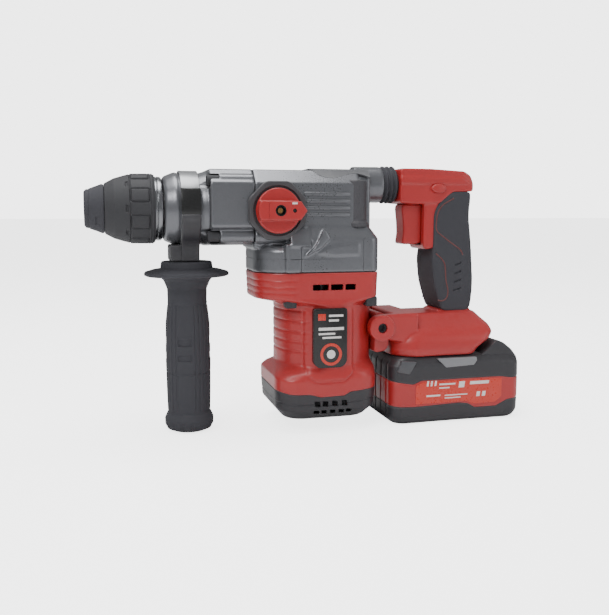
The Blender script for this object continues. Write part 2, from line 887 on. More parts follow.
# ---------------------------------------------------------------- front end
@dataclass(frozen=True)
class Chuck:
    """Dust cap, locking sleeve and chuck ring on the spindle's axis."""

    axis: tuple[float, float]
    cap: Span
    sleeve: Span
    ring: Span
    pads: int = 8

    @classmethod
    def from_cad(cls) -> "Chuck":
        """Reads the chuck's place."""
        middle = Span.of("tool_holder").middle
        return cls(
            (middle[1], middle[2]), Span.of("dust_cap"), Span.of("locking_sleeve"),
            Span.of("chuck_ring"),
        )

    def build(self) -> None:
        """Makes the three pieces."""
        self.make_cap()
        self.make_sleeve()
        self.make_ring()

    def make_cap(self) -> None:
        """The rubber cap, with a lip at its mouth and fine rings on its cone."""
        nose, rear = self.cap.low[0], self.cap.high[0]
        outer = [(nose, 7.4), (nose + 0.1, 12.4), (nose + 1.2, 13.9), (nose + 9, 16.7), (rear - 1.4, 18.2)]
        outer += [(rear, 18.0), (rear, 17.4), (rear + 0.25, 17.3)]
        inner = [(rear + 0.25, 9.8), (nose + 2.7, 9.8), (nose + 2.7, 5.6), (nose + 1, 5.6)]

        def relief(angle: np.ndarray, along: np.ndarray) -> np.ndarray:
            """A groove behind the lip, and a shallow slot in each quarter."""
            slot = plateau(np.sin(2 * angle + 0.4), 0.93, 1.0, 0.05)
            slot = slot * plateau(along, nose + 8.5, rear - 3, 0.5)
            return -0.5 * ridge(along, nose + 3.4, 0.7) - 0.7 * slot

        made = revolve("cap", outer + inner, "X", self.axis, 192, relief, 12.5, 0.5)
        show(made, "chuck_dust_cap", RUBBER, "spindle", "dust_cap")

    def make_sleeve(self) -> None:
        """The sleeve that is pulled back, with raised grip pads round it."""
        front, rear = self.sleeve.low[0], self.sleeve.high[0] + 3.8
        shoulder = rear - 18
        outer = [
            (front, 17.6), (front + 0.5, 18.8), (front + 7, 22.3), (shoulder - 0.8, 25.5),
            (shoulder, 25.1),
        ]
        outer += [(shoulder + 0.9, 25.9), (rear - 6, 26.1), (rear - 1, 25.7), (rear, 25.2)]
        inner = [
            (rear, 24.95), (shoulder + 0.6, 24.6), (shoulder + 0.6, 12.0), (front + 2, 12.0),
            (front + 2, 10.7),
        ]
        inner += [(front, 10.7)]
        sector = 2 * math.pi / self.pads

        def relief(angle: np.ndarray, along: np.ndarray) -> np.ndarray:
            """Pads in their outlines, notches at the shoulder and two ridges at the rear."""
            local = (angle % sector - sector / 2) * 26
            pad = from_box(
                local + 0 * along, along + 0 * local, (-4.6, shoulder + 1.0), (4.6, rear - 4.8), 0.8,
            )
            raised = 0.55 * (1 - smooth_step(pad, -0.4, 0.0)) - 0.65 * ridge(pad, 0.7, 0.75)
            between = ((angle + sector / 2) % sector - sector / 2) * 24
            notch = from_box(
                between + 0 * along, along + 0 * between, (-2.6, shoulder - 3.2),
                (2.6, shoulder - 1.2), 0.6,
            )
            ridges = 0.5 * (ridge(along, rear - 3.6, 0.7) + ridge(along, rear - 1.7, 0.7))
            return raised - 0.9 * (1 - smooth_step(notch, -0.3, 0.1)) + ridges

        made = revolve("sleeve", outer + inner, "X", self.axis, 360, relief, 17.0, 0.42)
        show(made, "locking_sleeve_grip", BLACK, "sleeve", "locking_sleeve")

    def make_ring(self) -> None:
        """The polished ring behind the sleeve."""
        front, rear = self.ring.low[0], self.ring.high[0]
        profile = [
            (front, 14.4), (rear, 14.4), (rear, 22.6), (rear - 0.8, 23.7), (rear - 3.4, 24.0),
            (rear - 3.7, 23.5),
        ]
        profile += [(rear - 4.1, 23.5), (rear - 4.4, 24.0), (front + 0.5, 24.0), (front, 23.5)]
        made = revolve("ring", soften(profile, 0.25, steps=2), "X", self.axis, 192)
        show(made, "chuck_polished_ring", RING_STEEL, "spindle", "chuck_ring")


@dataclass(frozen=True)
class Barrel:
    """The barrel housing between the chuck and the gear case, and its four bolts."""

    axis: tuple[float, float]
    span: Span
    case: Span
    bolts: tuple[Span, ...]

    @classmethod
    def from_cad(cls) -> "Barrel":
        """Reads the barrel's place."""
        middle = Span.of("tool_holder").middle
        bolts = tuple(Span.of(f"barrel_bolt_{i}") for i in range(1, 5))
        return cls((middle[1], middle[2]), Span.of("barrel_housing"), Span.of("gear_case"), bolts)

    def build(self) -> None:
        """Makes the housing and its bolts."""
        self.make_housing()
        self.make_bolts()

    def section(self, half: float) -> list[tuple[float, float]]:
        """The boxy part's outline across, for this half width: cut top corners and a stepped foot."""
        z = self.axis[1]
        top, cut = z + 29.3, 10.5
        side = [(half, z - 13.5), (half, top - cut), (half - cut, top)]
        low = [(half - 5, z - 16), (half - 5, z - 24), (half - 9, z - 27)]
        right = low[::-1] + side
        return soften([(-y, height) for y, height in right] + right[::-1], 1.2, steps=2)

    def make_housing(self) -> None:
        """The nose collar, the flare behind the clamp and the boxy rear, cast in one."""
        front, rear = self.span.low[0], self.span.high[0]
        z = self.axis[1]
        clamp_end = rear - 38.5
        nose = [(front, 15), (front, 22.8), (front + 1.2, 24.4), (front + 7.5, 27.0), (front + 9.5, 27.5)]
        nose += [
            (front + 10.6, 26.7), (clamp_end, 26.7), (clamp_end + 4, 28), (clamp_end + 9, 28),
            (clamp_end + 9, 15),
        ]
        shell = revolve("nose", soften(nose, 0.8), "X", self.axis, 128)
        body = prism("box", self.section(32.6), (clamp_end + 6, rear), "X", 0.7)
        tubes = [
            rod("tube", 5.3, (clamp_end + 13, rear), "X", (side * 24.8, z + rise))
            for side in (-1, 1)
            for rise in (-20.3, 20.3)
        ]
        lug = prism(
            "web", [(-24, z - 24), (24, z - 24), (20, z - 14), (-20, z - 14)],
            (clamp_end + 7, rear), "X", 1.0,
        )
        made = fuse("housing", [shell, body, lug, *tubes], 0.8, 3)
        holes = [
            rod("hole", 5.4, (clamp_end - 1, clamp_end + 13), "X", (side * 24.6, z + rise))
            for side in (-1, 1)
            for rise in (-20.3, 20.3)
        ]
        bore = rod("bore", 18.2, (front - 3, front + 12), "X", self.axis)
        carve(made, [*holes, bore])
        clips = []
        for side in (-1, 1):
            for rise, tilt in ((6.2, -1.6), (-7.6, 1.6)):
                line = [
                    (rear - 12, z + rise), (rear - 9, z + rise), (rear - 5, z + rise + tilt),
                    (rear - 5, z + rise + tilt - 1.2),
                ]
                line += [(rear - 9.4, z + rise - 1.3), (rear - 12, z + rise - 1.3)]
                clips.append(prism("clip", line, sorted((side * 30.5, side * 32.2)), "Y", 0.3))
        made = gather("housing", [made, *clips])
        show(made, "barrel_casting", CAST_GREY, "hammer_body", "barrel_housing")

    def make_bolts(self) -> None:
        """Socket heads, each turned as chance left it."""
        for i, bolt in enumerate(self.bolts, start=1):
            front = bolt.low[0]
            profile = [
                (front + 9, 0), (front + 9, 4.2), (front + 0.5, 4.2), (front, 3.8), (front, 2.3),
                (front + 3, 2.3),
            ]
            head = revolve(
                "head", [*profile, (front + 3, 0)], "X", (0, 0), 48,
                lambda angle, along: 0.12 * np.sin(24 * angle), 4.0,
            )
            made = COPIES.copies("bolt", head, 1, BLACK, (0, bolt.middle[1], bolt.middle[2]), spin=math.pi)
            show(made, f"barrel_bolt_head_{i}", BLACK, "hammer_body", f"barrel_bolt_{i}")


# ---------------------------------------------------------------- gear case
@dataclass(frozen=True)
class GearCase:
    """The gear case over the motor, its drive cover and the mode knob's bezel."""

    axis_z: float
    case: Span
    cover: Span
    bezel: Span

    @classmethod
    def from_cad(cls) -> "GearCase":
        """Reads the case's place."""
        return cls(
            Span.of("tool_holder").middle[2], Span.of("gear_case"), Span.of("crank_cover"),
            Span.of("mode_bezel"),
        )

    def build(self) -> None:
        """Makes the three pieces."""
        self.make_case()
        self.make_cover()
        self.make_bezel()

    def make_case(self) -> None:
        """The casting: box above, rounded crankcase below, neck behind, with its ribs and facets."""
        front, neck_end = self.case.low[0], self.case.high[0]
        rear, low, z = neck_end - 15.5, self.case.low[2], self.axis_z
        top, half, cut = z + 29.3, 33.0, 10.5
        right = [(half, z - 16), (half, top - cut), (half - cut, top)]
        box = [(-y, height) for y, height in right] + right[::-1]
        narrow = [
            (side * (half - 9), height)
            for side, height in ((-1, z - 16), (-1, top - 3), (1, top - 3), (1, z - 16))
        ]
        upper = prism("upper", box, (front, rear - 11), "X", 0.7)
        tail = prism("tail", narrow, (rear - 14, rear), "X", 2.0)
        crank_end = Span.of("rotor_core").middle[0] + 36
        middle, length = (front + 1 + crank_end) / 2, crank_end - front - 1
        lower = skin(
            "lower",
            [
                Ring(low, length / 2, 38.3, 26, 7, middle),
                Ring(z - 32, length / 2, 38.3, 26, 7, middle),
                Ring(z - 27.5, length / 2 - 1.5, 35, 24, 6, middle),
            ],
            calm=1,
        )
        step = front + 25
        middle, length = (step + crank_end) / 2, crank_end - step
        shoulder = skin(
            "shoulder",
            [
                Ring(z - 34, length / 2, 38.3, 4, 7, middle),
                Ring(z - 22.5, length / 2, 38.3, 4, 7, middle),
                Ring(z - 11.5, length / 2 - 5, 32, 3, 6, middle - 2),
            ],
            calm=1,
        )
        belly = block("belly", (front, -24, z - 30), (step + 10, 24, z - 12), 1.0)
        stub = [(rear - 8, 0), (rear - 8, 14.2), (neck_end - 1, 14.4), (neck_end, 13.6), (neck_end, 0)]
        neck = revolve("neck", stub, "X", (0, z + 19.5), 96)
        parts = [upper, tail, lower, shoulder, belly, neck]
        for side in (-1, 1):
            parts += self.side_parts(side, front, rear, low, z)
            parts.append(rod("tube", 5.4, (front, step + 6), "X", (side * 27.5, z - 20.5)))
        made = fuse("case", parts, 0.85, 2)
        middle, length = (front + 1 + crank_end) / 2, crank_end - front - 1
        line = [Ring(z - drop, length / 2 + 2, 40.3, 28, 9, middle) for drop in (37.9, 37.3)]
        seam = skin("seam", line, wall=Wall.TUBE, thickness=2.45, step=0.3, rims=(0.01, 0.01), calm=0)
        steps = []
        for side in (-1, 1):
            near, far = sorted((side * 37.8, side * 38.8))
            steps.append(block("step", (crank_end - 14, near, low - 1), (crank_end - 13.4, far, z - 22)))
        carve(made, [seam, *steps])
        made = gather("case", [made, *self.fine_ribs(rear, z)])
        show(made, "gear_case_casting", CAST_GREY, "hammer_body", "gear_case")
        columns = []
        for side in (-1, 1):
            columns.append(rod("column", 8.6, (z - 11.5, z + 22), "Z", (rear - 13.2, side * 25.4)))
            columns.append(rod("lip", 9.6, (z - 14, z - 10), "Z", (rear - 12.6, side * 25.8)))
        made = fuse("columns", columns, 0.8, 3)
        show(made, "rear_case_columns", ROUGH_GREY, "hammer_body")

    def side_parts(
        self,
        side: int,
        front: float,
        rear: float,
        low: float,
        z: float,
    ) -> list[bpy.types.Object]:
        """What stands proud of one side: the rear column, the front boss, its ramp and the slanting facet."""

        def reach(first: float, second: float) -> list[float]:
            """Two distances out from the middle, as an ordered span on this side."""
            return sorted((side * first, side * second))

        near, far = reach(30, 40.2)
        boss = block("boss", (front + 21, near, low), (front + 33.4, far, z - 26), 1.6)
        slope = [(30, -28), (41.2, -28), (40.6, -26), (34, -13.5), (30, -13.5)]
        ramp = prism(
            "ramp", [(side * y, z + height) for y, height in slope], (front + 25, front + 41), "X",
            0.8,
        )
        slant = [(51.5, -15.5), (55.5, -22), (48.5, -29.5), (36, -35.5), (43.5, -28.5)]
        facet = prism("facet", [(front + x, z + height) for x, height in slant], reach(34, 40.4), "Y", 0.5)
        second = [(46, -33.5), (53, -29.2), (66, -27), (79, -26.5), (79, -34.8), (60, -35.2)]
        panel = prism("panel", [(front + x, z + height) for x, height in second], reach(36, 38.9), "Y", 0.4)
        return [boss, ramp, facet, panel]

    def fine_ribs(self, rear: float, z: float) -> list[bpy.types.Object]:
        """Thin level ribs between the bezel and the rear column, on both sides."""
        made = []
        for side in (-1, 1):
            heights = [(33, 1.7), (33.9, 1.1), (33.9, -1.1), (33, -1.7), (32, -1.7), (32, 1.7)]
            bar = prism(
                "bar", [(side * y, height) for y, height in heights], (rear - 56, rear - 20), "X",
                0.3,
            )
            made.append(COPIES.copies("ribs", bar, 4, CAST_GREY, (0, 0, z - 4.5), (0, 0, 5.2)))
        return made

    def make_cover(self) -> None:
        """The thin cover over the drive, whose side edges run in a wave down the slopes."""
        front, rear = self.cover.low[0], self.cover.high[0]
        top, half, rows = self.axis_z + 29.6, 22.4, []
        for x in np.linspace(front, rear, 90):
            share = (x - front) / (rear - front)
            drop = 3.2 + 2.4 * math.sin(2.2 * math.pi * share - 0.6) + 2.2 * share
            drop *= float(smooth_step(np.array(share), 0.0, 0.12))
            side = [(half + drop, top - drop), (half, top + 0.2), (half - 3, top + 1.0)]
            line = [(-y, height) for y, height in side] + side[::-1]
            under = [(y * (1 - 0.9 / half), height - 1.1) for y, height in line[::-1]]
            loop = np.array(line[:1] + soften(line, 1.2, closed=False)[1:-1] + line[-1:] + under)
            rows.append(np.column_stack((np.full(len(loop), x), loop)))
        made = ring_stack("cover", np.array(rows))
        show(made, "drive_cover", COVER_GREY, "hammer_body", "crank_cover")

    def make_bezel(self) -> None:
        """The eight-sided dial plate behind the knob, dished in the middle."""
        x, z = self.bezel.middle[0], self.bezel.middle[2]
        flat = (self.bezel.high[0] - self.bezel.low[0]) / 2 - 1.3
        face, back = self.bezel.low[1], self.bezel.high[1]
        angle = np.linspace(0, 2 * math.pi, 240, endpoint=False)
        eighth = (angle + math.pi / 8) % (math.pi / 4) - math.pi / 8
        octagon = np.minimum(flat / np.cos(eighth), flat * 1.055)
        rows = []
        for y, size in (
            (back, octagon), (face + 1.0, octagon), (face + 0.2, octagon - 0.5),
            (face, octagon - 1.2),
        ):
            rows.append(on_axis("Y", np.full(240, y), (x, z), size * np.cos(angle), size * np.sin(angle)))
        for y, size in ((face, 18.9), (face + 0.4, 18.4), (face + 1.9, 18.1), (face + 1.9, 6.0), (back, 6.0)):
            rows.append(on_axis("Y", np.full(240, y), (x, z), size * np.cos(angle), size * np.sin(angle)))
        made = ring_stack("bezel", np.array(rows), wrap=True)
        show(made, "mode_dial_plate", BEZEL_GREY, "hammer_body", "mode_bezel")


@dataclass(frozen=True)
class ModeKnob:
    """The red knob that picks the mode: a disc drawn out to a point, with a bar across it."""

    centre: tuple[float, float]
    face: float
    back: float
    reach: float
    radius: float = 16.8

    @classmethod
    def from_cad(cls) -> "ModeKnob":
        """Reads the knob's place from its bezel and its own box."""
        bezel, knob = Span.of("mode_bezel"), Span.of("mode_knob")
        centre = (bezel.middle[0], bezel.middle[2])
        return cls(centre, knob.low[1], bezel.low[1] + 1.9, knob.high[0] - centre[0])

    def outline(self, inset: float = 0.0) -> list[tuple[float, float]]:
        """The disc and the two straight edges that run from it to the point."""
        radius, tip = self.radius - inset, self.reach - 1.2 * inset
        turn = math.acos(radius / tip)
        points = []
        for i in range(180):
            angle = 2 * math.pi * i / 180 - math.pi
            size = radius / math.cos(abs(angle) - turn) if abs(angle) < turn else radius
            points.append((self.centre[0] + size * math.cos(angle), self.centre[1] + size * math.sin(angle)))
        return points

    def build(self) -> None:
        """Makes the knob, its screw and its pale mark."""
        x, z = self.centre
        plate_face = self.face + 7.3
        half = 7.2
        disc = prism("disc", self.outline(), (plate_face, self.back), "Y", 0.9)
        ends = [point for point in self.outline(0.5) if abs(point[1] - z) < half]
        bar = prism("bar", ends, (self.face, plate_face + 1.5), "Y", 1.3)
        stem = rod("stem", 4.8, (plate_face, -28), "Y", self.centre)
        made = fuse("knob", [disc, bar, stem], 0.42, 2)
        hollows = [
            rod("hole", 4.1, (self.face - 2, self.face + 5.2), "Y", self.centre),
            block("line", (x - 8.9, self.face - 1, z - 6.4), (x - 8.5, self.face + 0.35, z + 6.4)),
        ]
        dimple = rod("dimple", 1.5, (self.face - 1, self.face + 1.2), "Y", (x + 10.4, z))
        carve(made, [*hollows, dimple])
        show(made, "mode_knob_grip", RED, "mode_knob", "mode_knob")
        screw = rod("screw", 2.3, (self.face + 2.6, self.face + 4.6), "Y", (x, z))
        cross = [block("slot", (x - 1.6, self.face + 2, z - 0.35), (x + 1.6, self.face + 3.3, z + 0.35))]
        cross.append(
            block("slot", (x - 0.35, self.face + 2.01, z - 1.6), (x + 0.35, self.face + 3.29, z + 1.6))
        )
        carve(carve(screw, cross[:1]), cross[1:])
        tube = [(0.25, 3.5), (0.25, 4.05), (5.0, 4.05), (5.0, 3.5)]
        lining = revolve("lining", [(self.face + depth, r) for depth, r in tube], "Y", (x, z), 64)
        floor = rod("floor", 3.45, (self.face + 4.3, self.face + 5.0), "Y", (x, z))
        spot = rod("spot", 1.45, (self.face + 0.45, self.face + 1.1), "Y", (x + 10.4, z))
        show(gather("dark", [lining, floor, spot]), "mode_knob_lining", BADGE, "mode_knob")
        show(screw, "mode_knob_screw_head", BRASS, "mode_knob", "knob_screw")
        mark = block("mark", (x + 8.4, self.face - 0.12, z + 4.6), (x + 12.4, self.face + 0.4, z + 5.9), 0.1)
        show(mark, "mode_knob_mark", PRINT_WHITE, "mode_knob")


# ---------------------------------------------------------------- motor
@dataclass(frozen=True)
class Motor:
    """The upright red motor housing with its badge, pads and end cap."""

    x: float
    housing: Span
    cap: Span
    badge: Span
    pivot: tuple[float, float]

    @classmethod
    def from_cad(cls) -> "Motor":
        """Reads the motor's place."""
        pin = Span.of("pivot_pin").middle
        return cls(
            Span.of("rotor_core").middle[0], Span.of("motor_housing"), Span.of("motor_end_cap"),
            Span.of("motor_badge"), (pin[0], pin[2]),
        )

    def build(self) -> None:
        """Makes every visible piece of the motor's shell."""
        self.make_housing()
        self.make_cap()
        self.make_pads()
        self.make_badge()

    def joint_edge(self, x: np.ndarray) -> np.ndarray:
        """How far the joint between housing and cap rises above its level, along the side."""
        places = [-52, -46, -35, -20, -12, 7, 12, 25]
        return np.interp(x - self.x, places, [1.0, 1.0, -1.3, -1.9, -4.3, -3.9, -1.2, 0.0])

    def relief(self, angle: np.ndarray, z: np.ndarray, x: np.ndarray, y: np.ndarray) -> np.ndarray:
        """Side panels, cooling grooves at the front and ledges on the collar."""
        top = self.housing.high[2]
        beside = np.abs(y) > 20
        panel = from_box(x - self.x, z, (-22.5, top - 79), (14.5, top + 9), 7.0)
        edge = 0.9 * (1 - smooth_step(panel, -0.8, 0.4)) - 0.5 * ridge(panel, 1.2, 0.8)
        raised = np.where(beside, edge, 0.0) * (1 - smooth_step(z, top - 32, top - 25))
        facing = smooth_step(-(x - self.x), 17, 25) * (1 - smooth_step(-(x - self.x), 60, 61))
        grooves = sum(ridge(z, top - drop, 1.4) for drop in (29, 37, 45.2, 52.6, 60))
        ledges = smooth_step(-(x - self.x), 26, 38) * sum(
            ridge(z, top - drop, 1.1)
            for drop in (5.5, 10.5, 15)
        )
        return raised - 0.6 * grooves * facing - 0.4 * ledges

    def make_housing(self) -> None:
        """The tube with its collar above, its flare below and the lug that the handle pivots on."""
        low, top = self.housing.low[2], self.housing.high[2]
        front, rear = Span.of("gear_case").low[0] + 1, self.x + 36
        middle, length = (front + rear) / 2, rear - front
        flare, flare_x = (self.cap.high[0] - self.cap.low[0]) / 2, self.cap.middle[0]
        rings = [
            Ring(low, flare, flare, 17, 17, flare_x),
            Ring(low + 10, flare, flare, 17, 17, flare_x),
            Ring(low + 15, flare - 0.8, flare - 0.6, 24, 24, (flare_x + self.x) / 2),
            Ring(low + 20, 39, 39, 38.9, 38.9, self.x),
            Ring(top - 24.5, 39, 39, 38.9, 38.9, self.x),
            Ring(top - 20, length / 2 - 0.8, 38.2, 26, 7, middle),
            Ring(top, length / 2, 38.5, 26, 7, middle),
        ]
        tube = skin(
            "tube", rings, self.relief, Wall.TUBE, 2.6, 0.8, 320, 2, (0.4, 0.4),
            (self.joint_edge, None),
        )
        px, pz = self.pivot
        side = [(self.x + 37, pz - 21), (px + 6, pz - 20), (px + 9, pz - 15), (px + 9, pz + 6)]
        side += [(px + 4, pz + 11), (self.x + 37, pz + 12)]
        lug = prism("lug", soften(side, 3), (-25, 25), "Y", 1.2)
        slots = []
        for near in (-1, 1):
            close, far = sorted((near * 33, near * 42))
            for start, wide in ((-17.7, 12.7), (-3.4, 9.9), (8.1, 8.5)):
                x = self.x + start
                slots.append(block("slot", (x, close, top - 13.2), (x + wide, far, top - 8.6), 0.8))
        carve(tube, slots)
        made = gather("housing", [tube, lug])
        show(made, "motor_shell", RED, "hammer_body", "motor_housing")

    def make_cap(self) -> None:
        """The dark end cap, with two rows of vents on each side."""
        low, top = self.cap.low[2], self.housing.low[2] - 0.3
        half, x_middle = (self.cap.high[0] - self.cap.low[0]) / 2, self.cap.middle[0]
        rings = [
            Ring(low, half - 9, half - 9, 14, 14, x_middle),
            Ring(low + 9, half - 1, half - 1, 17, 17, x_middle),
            Ring(top, half, half, 17, 17, x_middle),
        ]

        def relief(angle: np.ndarray, z: np.ndarray, x: np.ndarray, y: np.ndarray) -> np.ndarray:
            """A shallow step under the joint."""
            return -0.5 * ridge(z, top - 8.5, 0.8)

        cup = skin("cup", rings, relief, Wall.CUP, 2.5, 0.62, 400, 2, (2.2, 0.3), (None, self.joint_edge))
        slots = []
        for side in (-1, 1):
            for x, row in [
                (-17.5, 0), (-11.2, 0), (-3.6, 0), (4.2, 0), (-18, 1), (-12, 1), (-5, 1), (2, 1),
                (8, 1),
            ]:
                bottom, tall = (low + 11.4, 4.6) if row == 0 else (low + 5.6, 3.2)
                outline = [(x, 0), (x + 4.6, -0.4), (x + 4.2, tall - 0.4), (x - 0.4, tall)]
                flat = [(self.x + u + 1.0, bottom + v) for u, v in outline]
                slots.append(prism("slot", flat, sorted((side * 30, side * 46)), "Y", 0.5))
        carve(cup, slots)
        filling = [
            Ring(low + 3, half - 12, half - 12, 12, 12, x_middle),
            Ring(low + 17, half - 5, half - 5, 15, 15, x_middle),
        ]
        backing = skin("backing", filling, step=4)
        made = gather("cap", [cup, backing])
        show(made, "motor_end_cap_shell", DARK_GREY, "hammer_body", "motor_end_cap")

    def make_pads(self) -> None:
        """Four rubber rests under the collar's corners."""
        top = self.housing.high[2]
        pads = []
        for side in (-1, 1):
            for x, wide in ((-38, 8.5), (25.5, 9)):
                low, high = sorted((side * 26, side * (36 if x < 0 else 37.6)))
                pads.append(
                    block("pad", (self.x + x, low, top - 26.5), (self.x + x + wide, high, top - 19), 1.2)
                )
        show(gather("pads", pads), "collar_pads", BLACK, "hammer_body")

    def make_badge(self) -> None:
        """The dark badge and a plain printed pattern on it."""
        middle = self.badge.middle
        low = np.array(self.badge.low) - np.array((0.4, 0, 2.8))
        high = np.array(self.badge.high) + np.array((-0.6, 0, 3.0))
        face = low[1] - 0.1
        corners = [(low[0], low[2] + 4), (low[0] + 4, low[2]), (high[0] - 4, low[2]), (high[0], low[2] + 4)]
        outline = soften([*corners, (high[0], high[2]), (low[0], high[2])], 2.0)
        plate = prism("badge", outline, (face, face + 5), "Y", 0.5)
        show(plate, "motor_badge_plate", BADGE, "hammer_body", "motor_badge")
        x, z = middle[0], low[2]
        ring = revolve(
            "ring",
            soften([(face - 0.12, 6.4), (face + 0.3, 6.4), (face + 0.3, 8.6), (face - 0.12, 8.6)], 0.05),
            "Y", (x, z + 10.5), 96,
        )
        tags = [
            block(
                "tag", (low[0] + 3.5, face - 0.12, high[2] - 9),
                (low[0] + 9.5, face + 0.3, high[2] - 4), 0.1,
            )
        ]
        show(gather("red", [ring, *tags]), "badge_print_red", LABEL_RED, "hammer_body")
        bars = [rod("dot", 3.4, (face - 0.12, face + 0.3), "Y", (x, z + 10.5))]
        for drop, start, wide, tall in (
            (4.8, 12, 11.5, 1.6), (8.4, 12, 8, 1.6), (14.5, 4, 20, 2.2), (18.6, 4, 13, 1.5),
            (21.6, 7, 15, 1.5),
        ):
            top = high[2] - drop
            bars.append(
                block(
                    "bar", (low[0] + start, face - 0.12, top - tall),
                    (low[0] + start + wide, face + 0.3, top), 0.1,
                )
            )
        show(gather("white", bars), "badge_print_white", PRINT_WHITE, "hammer_body")


# ---------------------------------------------------------------- handle
@dataclass(frozen=True)
class Bellows:
    """The rubber bellows between the gear case's neck and the handle."""

    span: Span

    @classmethod
    def from_cad(cls) -> "Bellows":
        """Reads the bellows' place."""
        return cls(Span.of("damper_bellows"))

    def build(self) -> None:
        """Makes the folds and lets them bend between the two bodies."""
        front, rear = self.span.low[0], self.span.high[0]
        centre = (self.span.middle[1], self.span.middle[2])
        share = np.linspace(0, 1, 61)
        fold = 13.9 + 1.1 * np.cos(6 * math.pi * share + math.pi)
        outer = [(front + (rear - front) * s, r) for s, r in zip(share, fold)]
        inner = [(place, radius - 1.5) for place, radius in outer[::-1]]
        made = revolve("bellows", outer + inner, "X", centre, 128)
        made.data.materials.append(RUBBER.material())
        made.name = "damper_bellows_folds"
        made.data.shade_smooth()
        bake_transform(made)
        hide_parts("damper_bellows")


